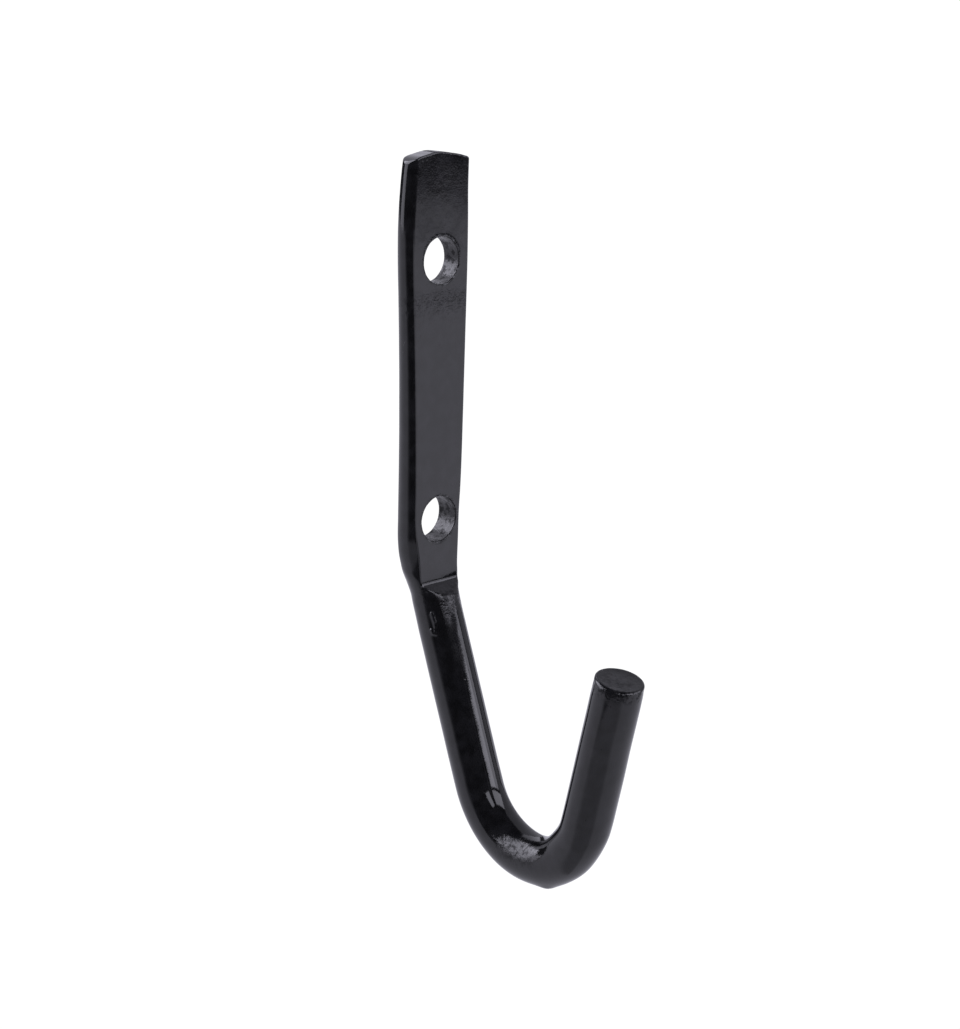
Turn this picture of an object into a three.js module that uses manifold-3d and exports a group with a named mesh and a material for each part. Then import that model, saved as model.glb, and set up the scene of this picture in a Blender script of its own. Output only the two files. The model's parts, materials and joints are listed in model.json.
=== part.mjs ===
// A tack-room wall hook forged from one length of round bar.
// Its upper end is pressed into a flat blade with two screw holes, and its lower end is bent into a J.
//
// Millimetres, +Z up. The origin is on the blade's back face, on the centre line, midway between
// the two screw holes. The wall is the plane Y = 0 and the hook reaches out to -Y.

import * as THREE from "three";
import { mergeVertices } from "three/addons/utils/BufferGeometryUtils.js";
import Module from "manifold-3d";

// Round bar
const BAR_DIAMETER = 9.5;
const BAR_RADIUS = BAR_DIAMETER / 2;
const BAR_SETBACK = 3.4; // wall to the bar's centre line, behind the blade
const BAR_SIDES = 14; // curve segments for half a turn of the bar's section
const BAR_STEPS = 56;
const TIP_ROUNDING = 0.6;

// Centre line of the bar, from the blade down: a small bend, the shank, the bowl of the J, the arm
const BEND_TOP = -36.1;
const BEND_RADIUS = 22.2;
const SHANK_LEAN = 21; // degrees forward of straight down
const SHANK_LENGTH = 38.6;
const BOWL_BACK_RADIUS = 16.5;
const BOWL_FRONT_RADIUS = 14.5;
const BOWL_SPLIT = 84; // heading, in degrees from straight down, where the radius changes
const ARM_LEAN = 12.5; // degrees outward of straight up
const ARM_LENGTH = 33;

// Pressed blade
const BLADE_TOP = 47.3;
const TOP_CROWN = 0.9; // how far the sheared top edge drops from its middle to its corners
const TOP_CORNER = 1.8; // height of the softened top corners
const TOP_THICKNESS = 4.0;
const SHOULDER = -39.4; // height of the step where the blade becomes round bar
const SHOULDER_THICKNESS = 5.2;
const RAMP_SLOPE = 0.66; // fall of the step for each millimetre that it comes forward
const SIDE_BULGE = 0.7; // how far the blade's convex sides stand out past its faces
const SIDE_FLAT = 0.6; // straight band along the middle of the sides
const FACING = 0.3; // stock pressed off the back, so that it lies flat on the wall

// Half-widths of the blade's front face at the heights where its taper changes
const HALF_WIDTHS = [
  [BLADE_TOP, 6.75],
  [38, 7.15],
  [28, 7.25],
  [0, 6.6],
  [-18, 6.25],
  [-29, 5.85],
  [-35, 5.25],
  [SHOULDER, 4.9],
];
const HEEL_LENGTH = 4.4; // how far the blade's rounded heel runs down into the bar
const HEEL_PINCH = 0.35; // how much narrower the heel is at the back than at the front

// Screw holes
const HOLE_DIAMETER = 9.7;
const HOLE_SPACING = 52.4;
const HOLE_SEGMENTS = 48;

const CLEAR = 2 * BAR_DIAMETER; // reach of a cutting tool past the metal that it cuts

const wasm = await Module();
wasm.setup();

function thicknessAt(z) {
  const share = (z - SHOULDER) / (BLADE_TOP - SHOULDER);
  return THREE.MathUtils.lerp(SHOULDER_THICKNESS, TOP_THICKNESS, share);
}

// How far the centre line has come forward at a height within the first bend.
function bendOffset(z) {
  const drop = Math.max(0, BEND_TOP - z);
  return BEND_RADIUS - Math.sqrt(BEND_RADIUS ** 2 - drop ** 2);
}

// A planar arc of the bar's centre line. A heading of 0 runs straight down, 90 straight forward.
class HeadingArc extends THREE.Curve {
  constructor(start, radius, fromDegrees, toDegrees) {
    super();
    this.start = start;
    this.radius = radius;
    this.from = THREE.MathUtils.degToRad(fromDegrees);
    this.to = THREE.MathUtils.degToRad(toDegrees);
  }

  getPoint(t, target = new THREE.Vector3()) {
    const heading = THREE.MathUtils.lerp(this.from, this.to, t);
    const y = this.start.y + this.radius * (Math.cos(heading) - Math.cos(this.from));
    const z = this.start.z - this.radius * (Math.sin(heading) - Math.sin(this.from));
    return target.set(0, y, z);
  }
}

function headingVector(degrees) {
  const heading = THREE.MathUtils.degToRad(degrees);
  return new THREE.Vector3(0, -Math.sin(heading), -Math.cos(heading));
}

function straight(start, degrees, length) {
  return new THREE.LineCurve3(start, headingVector(degrees).multiplyScalar(length).add(start));
}

function barCentreLine() {
  const line = new THREE.CurvePath();
  const end = () => line.curves.at(-1).getPoint(1);
  line.add(new HeadingArc(new THREE.Vector3(0, -BAR_SETBACK, BEND_TOP), BEND_RADIUS, 0, SHANK_LEAN));
  line.add(straight(end(), SHANK_LEAN, SHANK_LENGTH));
  line.add(new HeadingArc(end(), BOWL_BACK_RADIUS, SHANK_LEAN, BOWL_SPLIT));
  line.add(new HeadingArc(end(), BOWL_FRONT_RADIUS, BOWL_SPLIT, 180 - ARM_LEAN));
  line.add(straight(end(), 180 - ARM_LEAN, ARM_LENGTH));
  return line;
}

// A closed three.js geometry as a solid that can be joined and cut.
function solid(geometry) {
  const bare = geometry.clone();
  bare.deleteAttribute("normal");
  bare.deleteAttribute("uv");
  const merged = mergeVertices(bare, 1e-4);
  return new wasm.Manifold(
    new wasm.Mesh({
      numProp: 3,
      vertProperties: merged.getAttribute("position").array,
      triVerts: new Uint32Array(merged.index.array),
    }),
  );
}

function geometryOf(body) {
  const mesh = body.getMesh();
  const geometry = new THREE.BufferGeometry();
  geometry.setAttribute("position", new THREE.BufferAttribute(mesh.vertProperties, 3));
  geometry.setIndex(new THREE.BufferAttribute(mesh.triVerts, 1));
  geometry.computeVertexNormals();
  return geometry;
}

// The front face's outline, drawn with x across and y up. Its square top is sheared afterwards.
function bladeOutline() {
  const right = HALF_WIDTHS.map(([z, half]) => new THREE.Vector2(half, z));
  const left = HALF_WIDTHS.map(([z, half]) => new THREE.Vector2(-half, z)).reverse();
  const heel = right.at(-1);
  const outline = new THREE.Shape();
  outline.moveTo(-heel.x, heel.y);
  outline.splineThru(left.slice(1));
  outline.lineTo(right[0].x, right[0].y);
  outline.splineThru(right.slice(1));
  outline.bezierCurveTo(
    heel.x / 2, heel.y - HEEL_LENGTH,
    -heel.x / 2, heel.y - HEEL_LENGTH,
    -heel.x, heel.y,
  );
  return outline;
}

// The blade before it is sheared and drilled. Its sides are convex, its front face falls back
// towards the top, and its heel narrows at the back and follows the bar into the bend.
function bladeBlank() {
  const stock = SHOULDER_THICKNESS + FACING;
  const rounding = (stock - SIDE_FLAT) / 2;
  const geometry = new THREE.ExtrudeGeometry(bladeOutline(), {
    depth: SIDE_FLAT,
    bevelThickness: rounding,
    bevelSize: SIDE_BULGE,
    bevelSegments: 5,
    curveSegments: 3,
  });
  geometry.translate(0, 0, rounding - FACING);
  geometry.rotateX(Math.PI / 2);
  const position = geometry.getAttribute("position");
  for (let i = 0; i < position.count; i++) {
    const z = position.getZ(i);
    const depth = position.getY(i) / SHOULDER_THICKNESS;
    const heel = THREE.MathUtils.smoothstep(-z, -BEND_TOP, -SHOULDER + HEEL_LENGTH / 2);
    position.setX(i, position.getX(i) * (1 - HEEL_PINCH * heel * (1 + depth)));
    position.setY(i, depth * thicknessAt(z) - bendOffset(z));
  }
  return solid(geometry);
}

// Everything above the blade's top edge, which is crowned and has softened corners.
function topShear() {
  const side = HALF_WIDTHS[0][1] + 2 * SIDE_BULGE;
  const corner = side - TOP_CORNER;
  const cornerZ = BLADE_TOP - TOP_CROWN;
  const sideZ = cornerZ - TOP_CORNER;
  const soft = corner + TOP_CORNER / 2;
  const softZ = cornerZ - TOP_CROWN / 3;
  const profile = new THREE.Shape();
  profile.moveTo(side, BLADE_TOP + CLEAR);
  profile.lineTo(-side, BLADE_TOP + CLEAR);
  profile.lineTo(-side, sideZ);
  profile.quadraticCurveTo(-soft, softZ, -corner, cornerZ);
  profile.quadraticCurveTo(0, BLADE_TOP + TOP_CROWN, corner, cornerZ);
  profile.quadraticCurveTo(soft, softZ, side, sideZ);
  const geometry = new THREE.ExtrudeGeometry(profile, {
    depth: 2 * CLEAR,
    bevelEnabled: false,
    curveSegments: 6,
  });
  return solid(geometry.translate(0, 0, -CLEAR).rotateX(Math.PI / 2));
}

// The round bar from the bend to the tip.
function roundBar(centreLine) {
  const section = new THREE.Shape().absarc(0, 0, BAR_RADIUS, 0, 2 * Math.PI);
  return solid(
    new THREE.ExtrudeGeometry(section, {
      steps: BAR_STEPS,
      curveSegments: BAR_SIDES,
      extrudePath: centreLine,
    }),
  );
}

// The press die that flattens the front of the bar down to the shoulder, with its sloping lower
// face. It is drawn with y as the distance from the wall and goes a little below the blade's face.
function frontDie() {
  const face = SHOULDER_THICKNESS + bendOffset(SHOULDER);
  const profile = new THREE.Shape();
  profile.moveTo(SHOULDER + FACING * RAMP_SLOPE, face - FACING);
  profile.lineTo(SHOULDER - CLEAR * RAMP_SLOPE, face + CLEAR);
  profile.lineTo(CLEAR, face + CLEAR);
  profile.lineTo(CLEAR, face - FACING);
  const geometry = new THREE.ExtrudeGeometry(profile, { depth: 2 * CLEAR, bevelEnabled: false });
  geometry.translate(0, 0, -CLEAR);
  geometry.applyMatrix4(
    new THREE.Matrix4().makeBasis(
      new THREE.Vector3(0, 0, 1),
      new THREE.Vector3(0, -1, 0),
      new THREE.Vector3(1, 0, 0),
    ),
  );
  return solid(geometry);
}

// Everything behind the wall plane.
function wall() {
  const size = 6 * HOLE_SPACING;
  return solid(new THREE.BoxGeometry(size, size, size).translate(0, size / 2, 0));
}

function screwHole(z) {
  const radius = HOLE_DIAMETER / 2;
  return solid(new THREE.CylinderGeometry(radius, radius, CLEAR, HOLE_SEGMENTS).translate(0, 0, z));
}

// The ring of metal that is missing round the tip, because the cut end has a rounded rim.
function tipRing(centreLine) {
  const inner = BAR_RADIUS - TIP_ROUNDING;
  const outer = BAR_RADIUS + TIP_ROUNDING;
  const rim = new THREE.EllipseCurve(inner, -TIP_ROUNDING, TIP_ROUNDING, TIP_ROUNDING, 0, Math.PI / 2);
  const profile = rim.getPoints(4);
  profile.push(new THREE.Vector2(inner, TIP_ROUNDING));
  profile.push(new THREE.Vector2(outer, TIP_ROUNDING));
  profile.push(new THREE.Vector2(outer, -TIP_ROUNDING));
  profile.push(profile[0].clone());
  const geometry = new THREE.LatheGeometry(profile.reverse(), 2 * BAR_SIDES);
  const turn = new THREE.Quaternion().setFromUnitVectors(
    new THREE.Vector3(0, 1, 0),
    headingVector(180 - ARM_LEAN),
  );
  const tip = centreLine.curves.at(-1).getPoint(1);
  return solid(geometry.applyQuaternion(turn).translate(tip.x, tip.y, tip.z));
}

function forgedHook() {
  const centreLine = barCentreLine();
  const bar = roundBar(centreLine).subtract(frontDie()).subtract(tipRing(centreLine));
  const body = bladeBlank()
    .subtract(topShear())
    .add(bar)
    .subtract(wall())
    .subtract(screwHole(HOLE_SPACING / 2))
    .subtract(screwHole(-HOLE_SPACING / 2));
  const mesh = new THREE.Mesh(
    geometryOf(body),
    new THREE.MeshStandardMaterial({ color: 0x1c1c1f, roughness: 0.28, metalness: 0.0 }),
  );
  mesh.name = "forged_hook";
  return mesh;
}

const hook = new THREE.Group();
hook.add(forgedHook());

export default hook;
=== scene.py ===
"""A tack-room hook forged from one round bar and dipped in black enamel, in a small white studio.

The hook is one piece. Its surface is the zero level of a signed distance in millimetres. It is
meshed on a grid, evened out and moved exactly onto that level, so the pressed edges, the rims of
the screw holes and the runs of paint are real geometry with exact normals.
"""

import json
import math
from functools import partial

import bpy
import numpy as np
from mathutils import Matrix, Vector


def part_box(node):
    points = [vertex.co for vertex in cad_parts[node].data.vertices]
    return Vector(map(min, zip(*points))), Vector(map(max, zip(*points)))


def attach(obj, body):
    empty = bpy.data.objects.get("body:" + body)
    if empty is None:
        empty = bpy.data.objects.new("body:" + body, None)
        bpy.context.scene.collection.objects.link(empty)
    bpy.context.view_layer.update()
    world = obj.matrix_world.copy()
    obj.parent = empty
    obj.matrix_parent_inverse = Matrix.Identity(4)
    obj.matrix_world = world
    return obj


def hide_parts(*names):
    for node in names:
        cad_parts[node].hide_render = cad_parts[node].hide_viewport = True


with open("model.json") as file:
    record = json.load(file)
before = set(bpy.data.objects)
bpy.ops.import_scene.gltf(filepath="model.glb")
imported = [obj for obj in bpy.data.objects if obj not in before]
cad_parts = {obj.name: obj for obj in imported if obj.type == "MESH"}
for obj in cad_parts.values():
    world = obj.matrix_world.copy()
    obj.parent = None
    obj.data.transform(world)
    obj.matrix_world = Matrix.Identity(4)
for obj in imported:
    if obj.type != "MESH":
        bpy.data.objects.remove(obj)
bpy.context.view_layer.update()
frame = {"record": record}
low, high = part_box("forged_hook")
centre = (low + high) / 2
MM = 0.001

# ---- The hook's driving dimensions, in millimetres and degrees ----

BAR_RADIUS = 4.75
BAR_SETBACK = 3.4  # from the wall to the bar's centre line behind the blade

# The centre line from the first bend down. A heading of 0 runs straight down and 90 forward.
BEND_TOP = -36.1
BEND_RADIUS = 22.2
SHANK_LEAN = 21.0
SHANK_LENGTH = 38.6
BOWL_BACK_RADIUS = 16.5
BOWL_FRONT_RADIUS = 14.5
BOWL_SPLIT = 84.0
ARM_HEADING = 167.5
ARM_LENGTH = 33.0

# The blade, and the step at its foot, which is called the shoulder
BLADE_TOP = high.z / MM
TOP_THICKNESS = 4.0
SHOULDER = -39.4
SHOULDER_THICKNESS = 5.2
SHOULDER_SWING = 0.25  # how far the bend has carried the front face forward at the shoulder
RAMP_SLOPE = 0.6  # fall of the step for each millimetre that it comes forward
PRESSED_REACH = 4 * BAR_RADIUS  # how far past the shoulder the bar is still cut by the press
SIDE_BULGE = 0.75  # how far the convex sides stand out past the faces
BULGE_REACH = 1.1  # the sides stay convex a little past the faces, which are at 1
BEND_REACH = 0.9  # share of the bend's radius over which the front face follows the bend

# Where the blade's section turns into the round bar's. The heights are those before bending. The
# change comes lower at the front than at the wall, and higher again just under the step.
HEEL_TOP = -36.0
HEEL_END = -42.0
HEEL_LEAN = 0.3
FRONT_START = 2.0
FRONT_LEAD = 1.5
FRONT_LEAD_SKEW = 0.3  # more of it on the right than on the left

# Heights and half-widths of the blade. The hammered left edge stands a little further out than the
# right one, and bellies a little more at the back than at the front.
LEFT_EDGE = [
    (-39.4, 5.05), (-36.5, 5.2), (-33.5, 5.5), (-30.0, 6.1), (-26.0, 6.5), (-20.0, 6.45),
    (-8.0, 6.55), (6.0, 6.85), (18.0, 7.25), (26.0, 7.5), (33.0, 7.45), (40.0, 7.1), (47.3, 6.5),
]
LEFT_BACK_EDGE = [
    (-39.4, 5.0), (-36.5, 5.5), (-33.5, 6.25), (-30.0, 6.65), (-26.0, 6.68), (-20.0, 6.66),
    (-8.0, 6.7), (6.0, 6.97), (18.0, 7.38), (26.0, 7.7), (33.0, 7.78), (40.0, 7.4), (44.0, 7.0),
    (47.3, 6.5),
]
RIGHT_EDGE = [
    (-39.4, 5.3), (-36.0, 5.32), (-31.0, 5.48), (-25.5, 5.63), (-20.0, 6.0), (-12.0, 6.3),
    (0.0, 6.56), (12.0, 6.84), (24.0, 7.1), (34.0, 7.12), (40.0, 7.04), (44.0, 7.1), (47.3, 7.2),
]
# How far the sheared top edge lies below the blade's highest point, across the blade
TOP_EDGE = [
    (-8.5, 2.6), (-6.6, 1.15), (-4.0, 0.45), (-0.8, 0.0), (2.5, 0.35), (5.8, 0.95), (7.2, 1.4),
    (8.5, 2.6),
]

# The screw holes, and the radii of the edges as the press and the hammer left them
HOLE_RADIUS = 4.76
EDGE_ROUND = 0.26
HOLE_ROUND = 0.14
SHOULDER_FILLET = 0.45
BLADE_FRONT_ROUND = 1.5
RAMP_ROUND = 0.4
RAMP_ROUND_FADE = (0.3, 2.2)  # below the shoulder, from the edges' radius to the ramp's

# The arm's end
TIP_ROUND = 0.38
TIP_BEVEL = 0.75  # extra rounding of its rim on the bevelled side
TIP_BEVEL_SIDE = -60
TIP_DISH = 0.3


def smoothstep(start, end, value):
    """From 0 at start to 1 at end. It falls instead when the start is above the end."""
    share = np.clip((value - start) / (end - start), 0.0, 1.0)
    return share * share * (3.0 - 2.0 * share)


def rounded_cut(a, b, radius):
    """The solid that is inside both a and b, with the edge between them rounded."""
    corner = np.hypot(np.maximum(a + radius, 0.0), np.maximum(b + radius, 0.0))
    return np.minimum(-radius, np.maximum(a, b)) + corner


def filleted_join(a, b, radius):
    """The solid that is inside a or b, with the inner corner between them filled."""
    corner = np.hypot(np.maximum(radius - a, 0.0), np.maximum(radius - b, 0.0))
    return np.maximum(radius, np.minimum(a, b)) - corner


def towards(angle, x, offset):
    """From 0 on the bar's centre line to 1 on its surface, at an angle round it (0 outside)."""
    turned = math.radians(angle)
    return np.clip((offset * math.cos(turned) + x * math.sin(turned)) / BAR_RADIUS, 0.0, 1.0)


def smooth_profile(points, at):
    """A smooth curve through (position, value) points."""
    position, value = np.array(points).T
    slope = np.gradient(value, position)
    at = np.clip(at, position[0], position[-1])
    i = np.clip(np.searchsorted(position, at) - 1, 0, len(position) - 2)
    step = position[i + 1] - position[i]
    t = (at - position[i]) / step
    rise = value[i + 1] - value[i]
    bend = slope[i] * step * (1 - t) ** 2 * t - slope[i + 1] * step * t**2 * (1 - t)
    return value[i] + rise * t * t * (3 - 2 * t) + bend


class CentreLine:
    """The bar's centre line in the plane X = 0, as straights and arcs that run into each other."""

    def __init__(self, start, runs):
        self.pieces = []
        point = np.array(start, float)
        travelled = 0.0
        heading = 0.0
        for length, radius, end_heading in runs:
            turn = math.radians(end_heading) - heading
            if radius:
                length = radius * turn
            self.pieces.append((point.copy(), heading, radius, length, travelled))
            if radius:
                point = point + radius * (self.outward(heading + turn) - self.outward(heading))
                heading += turn
            else:
                point = point + length * self.along(heading)
            travelled += length
        self.length = travelled

    @staticmethod
    def along(heading):
        """Unit vector along the line, in Y and Z."""
        return np.array([-math.sin(heading), -math.cos(heading)])

    @staticmethod
    def outward(heading):
        """Unit vector away from the inside of the J, in Y and Z."""
        return np.array([math.cos(heading), -math.sin(heading)])

    def nearest(self, y, z):
        """Distance travelled along the line, and offset from it to the outside of the J."""
        best = np.full(np.broadcast(y, z).shape, np.inf)
        travelled = np.zeros_like(best)
        offset = np.zeros_like(best)
        for i, (start, heading, radius, length, before) in enumerate(self.pieces):
            first = i == 0
            last = i == len(self.pieces) - 1
            out = self.outward(heading)
            if radius:
                arc_centre = start - radius * out
                dy, dz = y - arc_centre[0], z - arc_centre[1]
                angle = np.arctan2(-dz, dy)
                angle = np.where(angle < heading - math.pi / 2, angle + 2 * math.pi, angle)
                swept = (angle - heading) * radius
                here = np.clip(swept, 0.0, length)
                side = np.hypot(dy, dz) - radius
            else:
                ahead = self.along(heading)
                dy, dz = y - start[0], z - start[1]
                swept = dy * ahead[0] + dz * ahead[1]
                here = np.clip(swept, -np.inf if first else 0.0, np.inf if last else length)
                side = dy * out[0] + dz * out[1]
            distance = np.hypot(side, np.abs(swept - here))
            closer = distance < best
            best = np.where(closer, distance, best)
            travelled = np.where(closer, before + here, travelled)
            offset = np.where(closer, side, offset)
        return travelled, offset


# Each run is a length, a radius and the heading at its end: straights have no radius, and the
# length of an arc follows from its radius and turn.
bar_line = CentreLine(
    (-BAR_SETBACK, BLADE_TOP),
    [
        (BLADE_TOP - BEND_TOP, None, 0.0),
        (None, BEND_RADIUS, SHANK_LEAN),
        (SHANK_LENGTH, None, SHANK_LEAN),
        (None, BOWL_BACK_RADIUS, BOWL_SPLIT),
        (None, BOWL_FRONT_RADIUS, ARM_HEADING),
        (ARM_LENGTH, None, ARM_HEADING),
    ],
)

# Heights of the screw holes, from the record's openings
hole_bores = [
    (opening["box_m"][0][2] + opening["box_m"][1][2]) / 2 / MM
    for opening in frame["record"]["physics"]["openings"]
    if "screw" in opening["name"]
]


def hook_distance(x, y, z):
    """Distance from the hook's bare steel surface, negative inside."""
    travelled, offset = bar_line.nearest(y, z)
    depth = -y
    bend = BEND_RADIUS - np.sqrt(
        BEND_RADIUS**2 - np.clip(BEND_TOP - z, 0.0, BEND_RADIUS * BEND_REACH) ** 2
    )
    share = (z - SHOULDER) / (BLADE_TOP - SHOULDER)
    thickness = SHOULDER_THICKNESS + (TOP_THICKNESS - SHOULDER_THICKNESS) * share
    across = 2 * (BAR_SETBACK - offset) / thickness - 1
    bulge = SIDE_BULGE * (1 - np.clip(across, -BULGE_REACH, BULGE_REACH) ** 2)
    front_share = np.clip(depth / thickness, 0.0, 1.0)
    left = smooth_profile(LEFT_BACK_EDGE, z)
    left = left + (smooth_profile(LEFT_EDGE, z) - left) * front_share
    right = smooth_profile(RIGHT_EDGE, z)
    blade = np.maximum(x - right, -x - left) - bulge
    blade = rounded_cut(blade, -offset - BAR_RADIUS, BLADE_FRONT_ROUND)
    bar = np.hypot(x, offset) - BAR_RADIUS
    unrolled = BLADE_TOP - travelled  # the height that this place had before the bar was bent
    lead = FRONT_LEAD + FRONT_LEAD_SKEW * np.clip(x / BAR_RADIUS, -1.0, 1.0)
    lead = np.maximum(-FRONT_START - offset, 0.0) * lead
    level = unrolled + HEEL_LEAN * (BAR_SETBACK - offset) - lead
    body = blade + (bar - blade) * smoothstep(HEEL_TOP, HEEL_END, level)
    front = depth - thickness - bend
    ramp = z - SHOULDER + RAMP_SLOPE * (depth - (SHOULDER_THICKNESS + SHOULDER_SWING))
    ramp = ramp / math.hypot(1.0, RAMP_SLOPE)
    pressed = np.where(
        unrolled > SHOULDER - PRESSED_REACH,
        filleted_join(front, ramp, SHOULDER_FILLET),
        -BAR_RADIUS,
    )
    below = smoothstep(*(SHOULDER - fall for fall in RAMP_ROUND_FADE), z)
    body = rounded_cut(body, pressed, EDGE_ROUND + (RAMP_ROUND - EDGE_ROUND) * below)
    body = rounded_cut(body, y, EDGE_ROUND)
    body = rounded_cut(body, z - BLADE_TOP + smooth_profile(TOP_EDGE, x), EDGE_ROUND)
    for bore in hole_bores:
        body = rounded_cut(body, HOLE_RADIUS - np.hypot(x, z - bore), HOLE_ROUND)
    inward = 1 - ((x**2 + offset**2) / BAR_RADIUS**2) ** 2
    tip = travelled - bar_line.length + TIP_DISH * np.clip(inward, 0.0, 1.0)
    return rounded_cut(body, tip, TIP_ROUND + TIP_BEVEL * towards(TIP_BEVEL_SIDE, x, offset))


# ---- Enamel ----

# Millimetres again. Places are distances travelled along the bar from the blade's top. Sides are
# angles round it in degrees: 0 is the outside of the J, 90 the hook's right and -90 its left.
TIP = bar_line.length
ENAMEL = 0.07  # thickness of the paint
FORGING_RELIEF = 0.008
WRINKLE_RELIEF = 0.009
BACK_ROUND = 0.12  # the back is flat at the wall, and its edge is rounded by this much

# A pool beside the shoulder: height, side, place and the length over which it fades
SHOULDER_POOL = (0.18, 90, 90.0, 4.0)
# Pools and thin places on the inside and the outside of the J: height, fade, place and length. A
# higher fade keeps one nearer the middle of its side. The outer ones make the sag under the bowl.
INNER_POOLS = [(0.22, 2, 140.0, 11.0), (0.46, 2, 163.0, 5.5), (0.08, 2, 148.0, 5.0)]
OUTER_POOLS = [
    (-0.10, 2, 136.0, 6.0), (0.22, 2, 148.0, 8.0), (0.24, 3, 155.0, 3.0), (-0.12, 2, 164.4, 2.4),
]
# The drop that hangs from the sag: height, place, distance round the bar and radius
DROP = (0.35, 154.4, -1.3, 1.3)

# Coats over a stretch of the bar: height, side (None all round), the two places between which the
# coat begins and the two between which it ends (None at the tip)
SHANK_COAT = (0.07, None, (92.0, 98.0), (128.0, 136.0))
ARM_COATS = [
    (0.14, 45, (165.0, 173.0), None),
    (0.055, None, (165.0, 173.0), (TIP - 5.0, TIP - 1.0)),
    (0.12, 30, (166.5, 170.0), (180.0, 190.0)),
    (-0.12, 40, (TIP - 2.6, TIP - 0.6), None),
    (-0.13, -60, (TIP - 2.4, TIP - 0.4), None),
]

# A hook-shaped run under the step: (place, distance round the bar) points, height and half-width
RUN_PATH = [
    (93.3, -10.1), (95.2, -10.25), (96.4, -10.2), (97.5, -9.85), (97.2, -9.3), (96.6, -9.2),
]
RUN_HEIGHT = 0.2
RUN_WIDTH = 0.4

# Blotchy patches
TOP_BLOTCH = (0.06, (36.0, 39.5))  # the blade's top: strength, heights between which it sets in
BAND_BLOTCH = (0.4, 17.6, 2.6)  # a band under the upper hole: strength, height, fade
SHOULDER_BLOTCH = (90.5, 3.0)  # place, fade
BOWL_BLOTCH = (150.0, 6.0)
BOWL_BLOTCH_SIDE = (-2.2, 0.55)  # angle round the bar and fade, in radians
RIM_BLOTCH = ((TIP - 3.2, TIP - 1.2), (TIP + 0.2, TIP - 0.6))  # round the arm's end: sets in, ends
HOLE_BLOTCH = 0.3  # fade from the walls of the holes


def bell(distance, width):
    """From 1 at no distance towards 0 far away."""
    return np.exp(-((distance / width) ** 2))


def wave_set(seed, count, shortest, longest):
    """Plane waves in seeded directions, with lengths in millimetres."""
    rng = np.random.default_rng(seed)
    direction = rng.normal(size=(count, 3))
    direction /= np.linalg.norm(direction, axis=1)[:, None]
    length = rng.uniform(shortest, longest, count)
    return direction * (2 * math.pi / length)[:, None], rng.uniform(0, 2 * math.pi, count)


def waves(x, y, z, wave_vectors, phases):
    """The sum of a wave set at each point, with a spread of about 1."""
    total = 0.0
    for (a, b, c), phase in zip(wave_vectors, phases):
        total = total + np.sin(a * x + b * y + c * z + phase)
    return total / math.sqrt(len(phases) / 2)


FORGING_WAVES = wave_set(seed=3, count=9, shortest=7.0, longest=18.0)
WRINKLES = wave_set(seed=5, count=16, shortest=1.1, longest=2.2)


def path_distance(u, v, path):
    """Distance in a plane from each point to a path."""
    best = np.inf
    for (u0, v0), (u1, v1) in zip(path, path[1:]):
        du, dv = u1 - u0, v1 - v0
        t = np.clip(((u - u0) * du + (v - v0) * dv) / (du * du + dv * dv), 0.0, 1.0)
        best = np.minimum(best, np.hypot(u - u0 - t * du, v - v0 - t * dv))
    return best


def round_bar(x, y, z):
    """Distance travelled along the bar, angle round it, share towards the inside, and offset."""
    travelled, offset = bar_line.nearest(y, z)
    inside = 0.5 - 0.5 * np.clip(offset / BAR_RADIUS, -1.0, 1.0)
    return travelled, np.arctan2(x, offset), inside, offset


def mottling(x, y, z):
    """How blotchy the enamel is, from 0 to 1, where it wrinkled or ran as it dried."""
    travelled, angle, inside, _ = round_bar(x, y, z)
    strength, heights = TOP_BLOTCH
    patches = strength * smoothstep(*heights, z)
    strength, height, width = BAND_BLOTCH
    patches = patches + strength * bell(z - height, width)
    place, length = SHOULDER_BLOTCH
    patches = patches + bell(travelled - place, length) * inside**2
    place, length = BOWL_BLOTCH
    side, fade = BOWL_BLOTCH_SIDE
    patches = patches + bell(travelled - place, length) * bell(angle - side, fade)
    begins, ends = RIM_BLOTCH
    patches = patches + smoothstep(*begins, travelled) * smoothstep(*ends, travelled)
    for bore in hole_bores:
        patches = patches + bell(np.hypot(x, z - bore) - HOLE_RADIUS, HOLE_BLOTCH)
    return np.clip(patches, 0.0, 1.0)


def coat(travelled, x, offset, height, side, begins, ends):
    """Paint over a stretch of the bar, all round it or on one side."""
    share = smoothstep(*begins, travelled)
    if ends is not None:
        share = share - smoothstep(*ends, travelled)
    if side is not None:
        share = share * towards(side, x, offset)
    return height * share


def enamel_distance(x, y, z):
    """Distance from the enamel: the steel, its forged unevenness, and the paint's pools and runs."""
    travelled, angle, inside, offset = round_bar(x, y, z)
    outside = 1 - inside
    around = angle * BAR_RADIUS
    build = ENAMEL + FORGING_RELIEF * waves(x, y, z, *FORGING_WAVES)
    build = build + WRINKLE_RELIEF * waves(x, y, z, *WRINKLES) * mottling(x, y, z)
    height, side, place, length = SHOULDER_POOL
    build = build + height * bell(travelled - place, length) * towards(side, x, offset)
    build = build + coat(travelled, x, offset, *SHANK_COAT)
    for share, pools in ((inside, INNER_POOLS), (outside, OUTER_POOLS)):
        for height, fade, place, length in pools:
            build = build + height * share**fade * bell(travelled - place, length)
    height, place, place_around, radius = DROP
    build = build + height * bell(np.hypot(travelled - place, around - place_around), radius)
    for arm_coat in ARM_COATS:
        build = build + coat(travelled, x, offset, *arm_coat)
    build = build + RUN_HEIGHT * bell(path_distance(travelled, around, RUN_PATH), RUN_WIDTH)
    return rounded_cut(hook_distance(x, y, z) - build, y, BACK_ROUND)


# ---- Mesh ----

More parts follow.
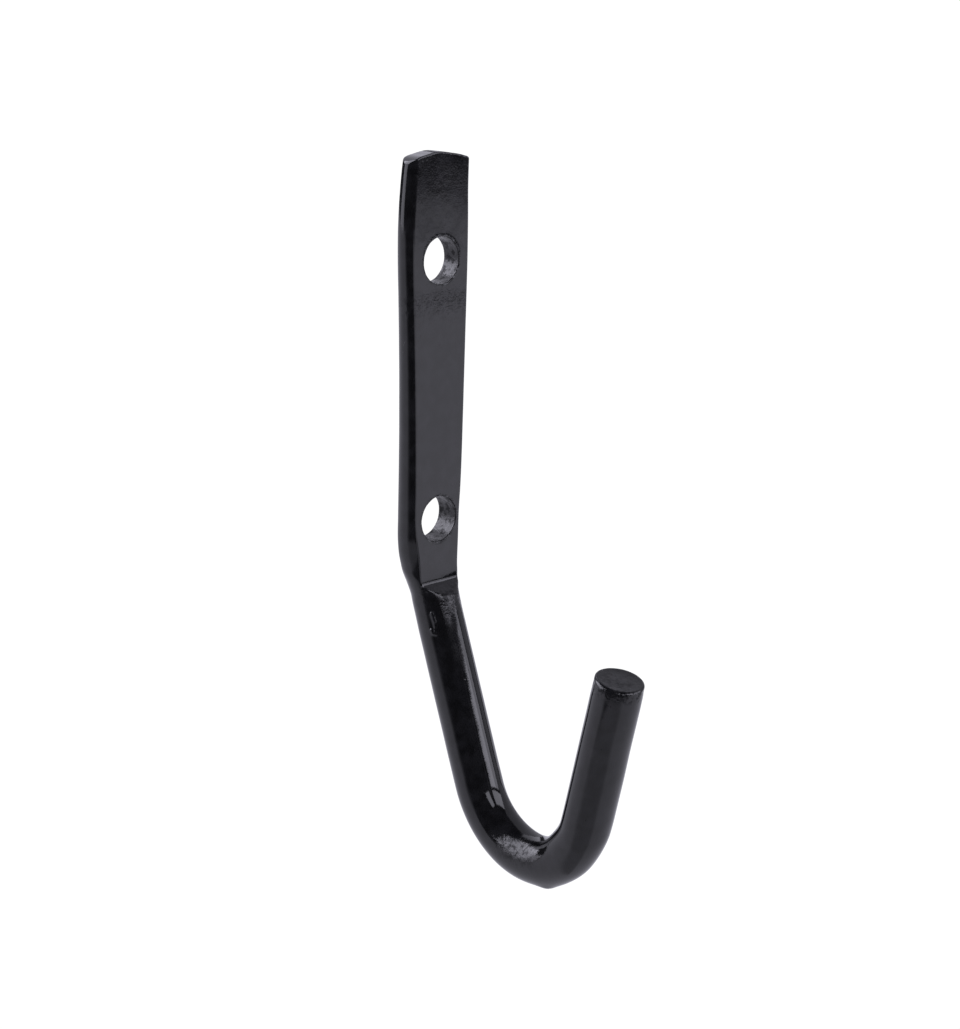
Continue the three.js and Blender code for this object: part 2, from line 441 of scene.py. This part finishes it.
# Grid lines in millimetres, as (start, spacing) stops: closer together where there are edges
GRID_X = [(-8.9, 0.25), (-5.0, 0.38), (5.0, 0.25), (8.6, 0.25)]
GRID_Y = [(-60.4, 0.36), (-5.9, 0.25), (-3.8, 0.36), (-0.9, 0.25), (0.7, 0.25)]
GRID_Z = [(-96.4, 0.4), (-42.0, 0.3), (-38.0, 0.42), (45.6, 0.25), (48.2, 0.25)]
SLOPE_REACH = 0.02  # step of the gradient
RELAX_SHARE = 0.5  # how far a point moves towards the middle of its neighbours
REFINE_ROUNDS = 2
SHARPEST_TURN = 16.0  # degrees between the normals at the ends of an edge
EDGE_TURNS = (0.35, 1.8)  # radians per millimetre, from a soft bend to a crisp edge


def spaced(stops):
    """Grid positions from (start, step) stops, the last of which is the end."""
    runs = [
        np.linspace(start, end, max(2, round((end - start) / step) + 1))[:-1]
        for (start, step), (end, _) in zip(stops, stops[1:])
    ]
    return np.concatenate([*runs, [stops[-1][0]]])


def surface_net(values, axes):
    """A vertex in each grid cell that the zero level crosses, and a quad round each crossed edge."""
    shape = np.array(values.shape)
    strides = np.array([shape[1] * shape[2], shape[2], 1])
    total = np.zeros((values.size, 3))
    count = np.zeros(values.size)
    rings = []
    for axis in range(3):
        here = np.take(values, range(shape[axis] - 1), axis)
        there = np.take(values, range(1, shape[axis]), axis)
        index = np.argwhere((here < 0) != (there < 0))
        start, end = here[tuple(index.T)], there[tuple(index.T)]
        point = np.stack([axes[k][index[:, k]] for k in range(3)], 1)
        reach = axes[axis][index[:, axis] + 1] - axes[axis][index[:, axis]]
        point[:, axis] += reach * start / (start - end)
        cell = index @ strides
        u, v = strides[(axis + 1) % 3], strides[(axis + 2) % 3]
        ring = np.stack([cell, cell - u, cell - u - v, cell - v], 1)
        ring[start > 0] = ring[start > 0][:, ::-1]
        for corner in ring.T:
            count += np.bincount(corner, minlength=values.size)
            for k in range(3):
                total[:, k] += np.bincount(corner, point[:, k], values.size)
        rings.append(ring)
    used = np.flatnonzero(count)
    place = np.zeros(values.size, int)
    place[used] = np.arange(len(used))
    return total[used] / count[used, None], place[np.concatenate(rings)]


def distance_and_slope(distance, points):
    """The distance at each point and its gradient."""
    slope = np.empty_like(points)
    for k in range(3):
        step = np.zeros(3)
        step[k] = SLOPE_REACH
        rise = distance(*(points + step).T) - distance(*(points - step).T)
        slope[:, k] = rise / (2 * SLOPE_REACH)
    return distance(*points.T), slope


def unit_slope(distance, points):
    """The surface's normal at each point."""
    _, slope = distance_and_slope(distance, points)
    return slope / np.linalg.norm(slope, axis=1)[:, None]


def settle(points, distance, rounds=3):
    """Moves the points onto the zero level."""
    for _ in range(rounds):
        value, slope = distance_and_slope(distance, points)
        points = points - slope * (value / (slope**2).sum(1))[:, None]
    return points


def relax(points, quads, distance, rounds=4):
    """Evens out the mesh by sliding its points along the surface."""
    edges = np.concatenate([quads[:, [i, (i + 1) % 4]] for i in range(4)])
    a, b = np.concatenate([edges, edges[:, ::-1]]).T
    degree = np.bincount(a, minlength=len(points))
    for _ in range(rounds):
        mean = np.stack([np.bincount(a, points[b, k], len(points)) for k in range(3)], 1)
        pull = mean / degree[:, None] - points
        normal = unit_slope(distance, points)
        pull -= normal * (pull * normal).sum(1)[:, None]
        points = settle(points + RELAX_SHARE * pull, distance, rounds=1)
    return points


def refine(points, triangles, distance):
    """Splits the edges along which the surface turns sharply, and closes the mesh round them."""
    normal = unit_slope(distance, points)
    sides = np.sort(np.concatenate([triangles[:, [i, (i + 1) % 3]] for i in range(3)]), axis=1)
    edges, which = np.unique(sides, axis=0, return_inverse=True)
    turn = (normal[edges[:, 0]] * normal[edges[:, 1]]).sum(1)
    split = turn < math.cos(math.radians(SHARPEST_TURN))
    middle = np.full(len(edges), -1)
    middle[split] = len(points) + np.arange(split.sum())
    added = points[edges[split]].mean(1)
    middles = middle[which.reshape(3, -1)].T
    found = []
    for mask in range(8):
        marks = [k for k in range(3) if mask & (1 << k)]
        chosen = np.all((middles >= 0) == [k in marks for k in range(3)], axis=1)
        corner = triangles[chosen]
        mid = middles[chosen]
        if len(marks) == 1:
            k = marks[0]
            a, b, c = corner[:, k], corner[:, (k + 1) % 3], corner[:, (k + 2) % 3]
            parts = [(a, mid[:, k], c), (mid[:, k], b, c)]
        elif len(marks) == 2:
            k = next(i for i in range(3) if i not in marks)
            a, b, c = corner[:, k], corner[:, (k + 1) % 3], corner[:, (k + 2) % 3]
            ahead, behind = mid[:, (k + 1) % 3], mid[:, (k + 2) % 3]
            parts = [(a, b, ahead), (a, ahead, behind), (behind, ahead, c)]
        elif len(marks) == 3:
            a, b, c = corner.T
            ab, bc, ca = mid.T
            parts = [(a, ab, ca), (ab, b, bc), (ca, bc, c), (ab, bc, ca)]
        else:
            parts = [tuple(corner.T)]
        found += [np.stack(part, 1) for part in parts]
    added = settle(added, distance)
    return np.concatenate([points, added]), np.concatenate(found)


def hook_points():
    """The hook's vertices, triangles and normals, finer where the surface turns sharply."""
    axes = [spaced(stops) for stops in (GRID_X, GRID_Y, GRID_Z)]
    grid = np.meshgrid(*axes, indexing="ij", sparse=True)
    # The net starts on the bare steel, which is quicker to work out, and settles on the paint
    points, quads = surface_net(hook_distance(*grid), axes)
    points = relax(settle(points, enamel_distance), quads, enamel_distance)
    triangles = np.concatenate([quads[:, [0, 1, 2]], quads[:, [0, 2, 3]]])
    for _ in range(REFINE_ROUNDS):
        points, triangles = refine(points, triangles, enamel_distance)
    return points, triangles, unit_slope(enamel_distance, points)


def edge_sharpness(points, triangles, normals):
    """How sharply the surface turns at each vertex, from 0 on a flat to 1 on a crisp edge."""
    a, b = np.concatenate([triangles[:, [i, (i + 1) % 3]] for i in range(3)]).T
    turn = 1 - (normals[a] * normals[b]).sum(1)
    bend = np.sqrt(np.maximum(turn, 0.0) * 2) / np.linalg.norm(points[a] - points[b], axis=1)
    total = np.bincount(a, bend, len(points)) / np.bincount(a, minlength=len(points))
    return smoothstep(*EDGE_TURNS, total)


def make_hook(material):
    """The hook's object, with its exact normals and two masks for the material."""
    points, faces, normals = hook_points()
    mesh = bpy.data.meshes.new("enamelled_hook")
    mesh.from_pydata((points * MM).tolist(), [], faces.tolist())
    mesh.polygons.foreach_set("use_smooth", np.ones(len(faces), bool))
    mesh.normals_split_custom_set_from_vertices(normals.tolist())
    masks = {"mottle": mottling(*points.T), "edge": edge_sharpness(points, faces, normals)}
    for name, values in masks.items():
        attribute = mesh.attributes.new(name, "FLOAT", "POINT")
        attribute.data.foreach_set("value", values.astype(np.float32))
    mesh.materials.append(material)
    hook = bpy.data.objects.new("enamelled_hook", mesh)
    bpy.context.scene.collection.objects.link(hook)
    return hook


# ---- Materials ----

# The enamel's noises: size in millimetres and detail
ORANGE_PEEL = (1.7, 1.0)
GRAIN = (0.25, 3.0)
FINE_WRINKLES = (0.5, 4.0)
GLOSS_PATCHES = (3.5, 2.0)
DULL_PATCHES = (1.3, 2.0)
DRY_SPOTS = (1.1, 3.0)
SHADES = (2.4, 5.0)
WEAR = (0.8, 5.0)

# The noise values over which each of them sets in
GLOSS_BAND = (0.3, 0.7)
DULL_BAND = (0.4, 0.65)
DRY_BAND = (0.50, 0.60)
SHADE_BAND = (0.35, 0.7)
WEAR_BAND = (0.52, 0.68)

# Relief, in millimetres
ORANGE_PEEL_HEIGHT = 0.008
GRAIN_HEIGHT = 0.0032
FINE_WRINKLE_HEIGHT = 0.09
NIB_HEIGHT = 0.03
NIB_SPACING = 1.3
NIB_RADII = (0.02, 0.13)  # in cells, from the top of a nib to its foot
NIB_BAND = (0.72, 0.85)  # a cell holds a nib if its random value is above this

# Roughness of the clean paint, what grain and blotches add to it, and the shine lost in dry spots
GLOSS_RANGE = (0.05, 0.09)
GRAIN_DULLNESS = 0.03
BLOTCH_DULLNESS = 0.10
DRY_LOSS = 0.35
IOR = 1.5
SPECULAR_LEVEL = 0.5

# Near black in two shades, with grey steel dust along the thin edges
BLACK = (0.0020, 0.0020, 0.0024, 1)
GREYER_BLACK = (0.0045, 0.0045, 0.0055, 1)
WORN_GREY = (0.045, 0.045, 0.05, 1)


def node(tree, kind, **settings):
    """A new node, with its inputs or its own settings set by name."""
    made = tree.nodes.new(kind)
    for key, value in settings.items():
        if key in made.inputs:
            made.inputs[key].default_value = value
        else:
            setattr(made, key, value)
    return made


def connect(tree, value, socket):
    """Links a node's output to a socket, or sets the socket to a plain value."""
    if isinstance(value, (float, tuple)):
        socket.default_value = value
    else:
        tree.links.new(value, socket)


def math_node(tree, operation, *values):
    """The result of a calculation on sockets and plain numbers."""
    made = node(tree, "ShaderNodeMath", operation=operation)
    for socket, value in zip(made.inputs, values):
        connect(tree, value, socket)
    return made.outputs[0]


def ramp_node(tree, value, from_range, to_range):
    """Runs smoothly over one range as the value goes over another."""
    made = node(tree, "ShaderNodeMapRange", interpolation_type="SMOOTHSTEP")
    names = ("From Min", "From Max", "To Min", "To Max")
    for name, number in zip(names, (*from_range, *to_range)):
        made.inputs[name].default_value = number
    connect(tree, value, made.inputs["Value"])
    return made.outputs[0]


def mix_node(tree, factor, first, second):
    """The first colour where the factor is 0 and the second where it is 1."""
    made = node(tree, "ShaderNodeMix", data_type="RGBA")
    colours = [socket for socket in made.inputs if socket.type == "RGBA"]
    for socket, value in zip(colours, (first, second)):
        connect(tree, value, socket)
    connect(tree, factor, made.inputs[0])
    return next(socket for socket in made.outputs if socket.type == "RGBA")


def black_enamel():
    """Gloss black enamel with an orange peel, wrinkles, dust nibs and thin, worn edges."""
    material = bpy.data.materials.new("black_enamel")
    material.use_nodes = True
    tree = material.node_tree
    shader = tree.nodes["Principled BSDF"]
    shader.inputs["IOR"].default_value = IOR
    place = node(tree, "ShaderNodeTexCoord").outputs["Object"]
    calculate = partial(math_node, tree)
    ramp = partial(ramp_node, tree)
    mix = partial(mix_node, tree)

    def noise(size, detail):
        made = node(tree, "ShaderNodeTexNoise", Scale=1 / (size * MM), Detail=detail)
        tree.links.new(place, made.inputs["Vector"])
        return made.outputs["Fac"]

    mottle = node(tree, "ShaderNodeAttribute", attribute_name="mottle").outputs["Fac"]
    edge = node(tree, "ShaderNodeAttribute", attribute_name="edge").outputs["Fac"]
    grain = noise(*GRAIN)
    wrinkle = calculate("MULTIPLY", noise(*FINE_WRINKLES), mottle)

    # Height of the surface in millimetres
    cells = node(tree, "ShaderNodeTexVoronoi", Scale=1 / (NIB_SPACING * MM), Randomness=1.0)
    tree.links.new(place, cells.inputs["Vector"])
    random_value = node(tree, "ShaderNodeSeparateColor")
    tree.links.new(cells.outputs["Color"], random_value.inputs[0])
    nib_shape = ramp(cells.outputs["Distance"], NIB_RADII, (1.0, 0.0))
    nib_height = ramp(random_value.outputs[0], NIB_BAND, (0.0, NIB_HEIGHT))
    height = calculate("MULTIPLY", noise(*ORANGE_PEEL), ORANGE_PEEL_HEIGHT)
    height = calculate("ADD", height, calculate("MULTIPLY", grain, GRAIN_HEIGHT))
    height = calculate("ADD", height, calculate("MULTIPLY", wrinkle, FINE_WRINKLE_HEIGHT))
    height = calculate("ADD", height, calculate("MULTIPLY", nib_shape, nib_height))
    bump = node(tree, "ShaderNodeBump", Strength=1.0, Distance=MM)
    tree.links.new(height, bump.inputs["Height"])
    tree.links.new(bump.outputs["Normal"], shader.inputs["Normal"])

    # Gloss, duller where the paint is blotchy
    gloss = ramp(noise(*GLOSS_PATCHES), GLOSS_BAND, GLOSS_RANGE)
    gloss = calculate("ADD", gloss, calculate("MULTIPLY", grain, GRAIN_DULLNESS))
    dull = ramp(noise(*DULL_PATCHES), DULL_BAND, (0.0, BLOTCH_DULLNESS))
    dull = calculate("MULTIPLY", mottle, dull)
    tree.links.new(calculate("ADD", gloss, dull), shader.inputs["Roughness"])

    # Dry spots in the blotches hardly shine
    dry = calculate("MULTIPLY", mottle, ramp(noise(*DRY_SPOTS), DRY_BAND, (0.0, 1.0)))
    shine = calculate("SUBTRACT", SPECULAR_LEVEL, calculate("MULTIPLY", dry, DRY_LOSS))
    tree.links.new(shine, shader.inputs["Specular IOR Level"])

    # Colour, worn along the edges
    paint = mix(ramp(noise(*SHADES), SHADE_BAND, (0.0, 1.0)), BLACK, GREYER_BLACK)
    worn = calculate("MULTIPLY", edge, ramp(noise(*WEAR), WEAR_BAND, (0.0, 1.0)))
    tree.links.new(mix(worn, paint, WORN_GREY), shader.inputs["Base Color"])
    return material


def plain(name, colour, glow):
    """An evenly glowing material for the studio."""
    material = bpy.data.materials.new(name)
    material.use_nodes = True
    tree = material.node_tree
    tree.nodes.remove(tree.nodes["Principled BSDF"])
    shader = node(tree, "ShaderNodeEmission", Color=(*colour, 1), Strength=glow)
    tree.links.new(shader.outputs[0], tree.nodes["Material Output"].inputs["Surface"])
    return material


# ---- Studio ----

STUDIO_TINT = (0.93, 0.92, 1.05)
CARD_DISTANCE = 4.0  # metres

# Softboxes and lit cards round the hook, which its enamel mirrors: the azimuths and elevations that
# each one covers, in degrees, and its radiance. A wide card hangs lower at its sides than in its
# middle, so the low edge of the high light is level only because it is three narrow cards.
CARDS = [
    ("softbox_right_low_1", (12, 37), (3, 14.3), 4.0),
    ("softbox_right_low_2", (37, 53), (3, 14.3), 2.2),
    ("softbox_high_1", (-27, 1), (20, 48), 2.8),
    ("softbox_high_2", (1, 29), (20, 48), 2.8),
    ("softbox_high_3", (29, 57), (20, 48), 2.8),
    ("softbox_left", (-168, -113), (9, 55), 4.0),
    ("backdrop_low", (-154, -121), (-4.6, 9), 1.8),
    ("backdrop", (139, 202), (9, 60), 1.0),
    ("room_glow", (57, 138), (-3, 64), 0.42),
    ("floor_glow", (-8, 60), (-22, -5.6), 0.4),
]

# The floor and backdrop that the camera sees, in metres
SWEEP_RADIUS = 2.4
SWEEP_RISE = 0.4  # height at which the sweep has turned upright, as a share of its radius
SWEEP_FLAT = 0.5  # share of the radius that is flat floor
SWEEP_RINGS = 12
SWEEP_SIDES = 96
SWEEP_DROP = 0.06  # below the hook
SWEEP_GLOW = 1.05

# The room that the enamel sees beyond the cards. Heights are of a direction's unit vector.
FLOOR_RADIANCE = 0.75
CAMERA_FLOOR_RADIANCE = 0.45  # on the camera's side
ROOM_RADIANCE = 0.03
SHADE_AZIMUTH = -65  # the camera and its stand darken this side
SHADE_COSINES = (0.62, 0.95)  # of the angle to that side, from no shade to full shade
SHADE_HEIGHTS = (-0.49, -0.43)  # the floor nearer than this keeps its light
HORIZON_HEIGHTS = (-0.092, -0.088)


def make_card(name, azimuths, elevations, radiance):
    """A softbox that stands upright over a range of directions, unseen by the camera."""
    middle = math.radians(sum(azimuths) / 2)
    half_width = math.radians((azimuths[1] - azimuths[0]) / 2)
    lowest, highest = (CARD_DISTANCE * math.tan(math.radians(e)) for e in elevations)
    light = bpy.data.lights.new(name, "AREA")
    light.shape = "RECTANGLE"
    light.size = 2 * CARD_DISTANCE * math.tan(half_width)
    light.size_y = highest - lowest
    light.energy = radiance * math.pi * light.size * light.size_y
    light.color = STUDIO_TINT
    out = Vector((math.sin(middle), -math.cos(middle), 0))
    card = bpy.data.objects.new(name, light)
    card.location = centre + out * CARD_DISTANCE + Vector((0, 0, (lowest + highest) / 2))
    card.rotation_mode = "QUATERNION"
    card.rotation_quaternion = out.to_track_quat("Z", "Y")
    card.visible_camera = False
    bpy.context.scene.collection.objects.link(card)


def sweep_mesh(name):
    """A round floor whose rim sweeps up into a dome."""
    turns = np.linspace(0, math.pi / 2, SWEEP_RINGS)
    profile = [(SWEEP_FLAT, 0.0)]
    for a in turns[1:]:
        out = SWEEP_FLAT + (1 - SWEEP_FLAT) * math.sin(a)
        profile.append((out, SWEEP_RISE * (1 - math.cos(a))))
    for a in turns[1:-1]:
        profile.append((math.cos(a), SWEEP_RISE + math.sin(a)))
    verts = [(0.0, 0.0, 0.0)]
    for out, up in profile:
        for i in range(SWEEP_SIDES):
            a = 2 * math.pi * i / SWEEP_SIDES
            ring_radius = SWEEP_RADIUS * out
            verts.append((ring_radius * math.cos(a), ring_radius * math.sin(a), SWEEP_RADIUS * up))
    top = len(verts)
    verts.append((0.0, 0.0, SWEEP_RADIUS * (SWEEP_RISE + 1)))
    last_ring = top - SWEEP_SIDES
    faces = []
    for i in range(SWEEP_SIDES):
        after = (i + 1) % SWEEP_SIDES
        faces.append((0, 1 + i, 1 + after))
        for base in range(1, last_ring, SWEEP_SIDES):
            a, b = base + i, base + after
            faces.append((a, a + SWEEP_SIDES, b + SWEEP_SIDES, b))
        faces.append((last_ring + i, top, last_ring + after))
    mesh = bpy.data.meshes.new(name)
    mesh.from_pydata(verts, [], faces)
    return mesh


def make_stage():
    """The white floor and backdrop, which the enamel doesn't mirror."""
    mesh = sweep_mesh("studio_sweep")
    mesh.materials.append(plain("white_sweep", (1.0, 1.0, 1.0), SWEEP_GLOW))
    sweep = bpy.data.objects.new("studio_sweep", mesh)
    sweep.location = (0, 0, low.z - SWEEP_DROP)
    sweep.visible_glossy = False
    sweep.visible_shadow = False
    bpy.context.scene.collection.objects.link(sweep)


def heading_vector(azimuth, elevation):
    """Unit vector to a direction, where azimuth 0 is straight in front of the hook."""
    a, e = math.radians(azimuth), math.radians(elevation)
    return Vector((math.sin(a) * math.cos(e), -math.cos(a) * math.cos(e), math.sin(e)))


def make_world():
    """The room as the enamel sees it: a pale floor up to the horizon, dark on the camera's side."""
    world = bpy.data.worlds.new("studio")
    bpy.context.scene.world = world
    world.use_nodes = True
    tree = world.node_tree
    calculate = partial(math_node, tree)
    ramp = partial(ramp_node, tree)
    background = tree.nodes["Background"]
    background.inputs["Color"].default_value = (*STUDIO_TINT, 1)
    place = node(tree, "ShaderNodeTexCoord").outputs["Generated"]
    split = node(tree, "ShaderNodeSeparateXYZ")
    tree.links.new(place, split.inputs[0])
    flat = node(tree, "ShaderNodeVectorMath", operation="MULTIPLY")
    flat.inputs[1].default_value = (1, 1, 0)
    tree.links.new(place, flat.inputs[0])
    heading = node(tree, "ShaderNodeVectorMath", operation="NORMALIZE")
    tree.links.new(flat.outputs[0], heading.inputs[0])
    facing = node(tree, "ShaderNodeVectorMath", operation="DOT_PRODUCT")
    facing.inputs[1].default_value = heading_vector(SHADE_AZIMUTH, 0)
    tree.links.new(heading.outputs[0], facing.inputs[0])
    height = split.outputs["Z"]
    camera_side = ramp(facing.outputs["Value"], SHADE_COSINES, (0.0, 1.0))
    shaded = calculate("MULTIPLY", camera_side, ramp(height, SHADE_HEIGHTS, (0.0, 1.0)))
    radiance = ramp(camera_side, (0.0, 1.0), (FLOOR_RADIANCE, CAMERA_FLOOR_RADIANCE))
    lit = calculate("MULTIPLY", radiance, ramp(shaded, (0.0, 1.0), (1.0, 0.0)))
    floor = calculate("MULTIPLY", ramp(height, HORIZON_HEIGHTS, (1.0, 0.0)), lit)
    glow = calculate("ADD", floor, ROOM_RADIANCE)
    tree.links.new(glow, background.inputs["Strength"])


make_world()
make_stage()
for card in CARDS:
    make_card(*card)

hook = make_hook(black_enamel())
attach(hook, "root")
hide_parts("forged_hook")

# ---- Camera ----

AZIMUTH, ELEVATION, ROLL = -45.0, 15.18, 1.48
CAMERA_DISTANCE = 0.3967
SENSOR_WIDTH, FOCAL_LENGTH = 36.0, 71.5  # millimetres
AIM_ACROSS, AIM_UP = -0.00926, 0.00363  # from the middle of the hook's box to the picture's, metres

camera_data = bpy.data.cameras.new("camera")
camera_data.sensor_width = SENSOR_WIDTH
camera_data.lens = FOCAL_LENGTH
camera = bpy.data.objects.new("camera", camera_data)
back = heading_vector(AZIMUTH, ELEVATION)
right = Vector((0, 0, 1)).cross(back).normalized()
up = back.cross(right)
camera.location = centre + AIM_ACROSS * right + AIM_UP * up + back * CAMERA_DISTANCE
roll = math.radians(ROLL)
camera_right = right * math.cos(roll) + up * math.sin(roll)
camera_up = up * math.cos(roll) - right * math.sin(roll)
axes = Matrix((camera_right, camera_up, back)).transposed()
camera.rotation_mode = "QUATERNION"
camera.rotation_quaternion = axes.to_quaternion()
bpy.context.scene.collection.objects.link(camera)
bpy.context.scene.camera = camera
bpy.context.scene.view_settings.view_transform = "Standard"
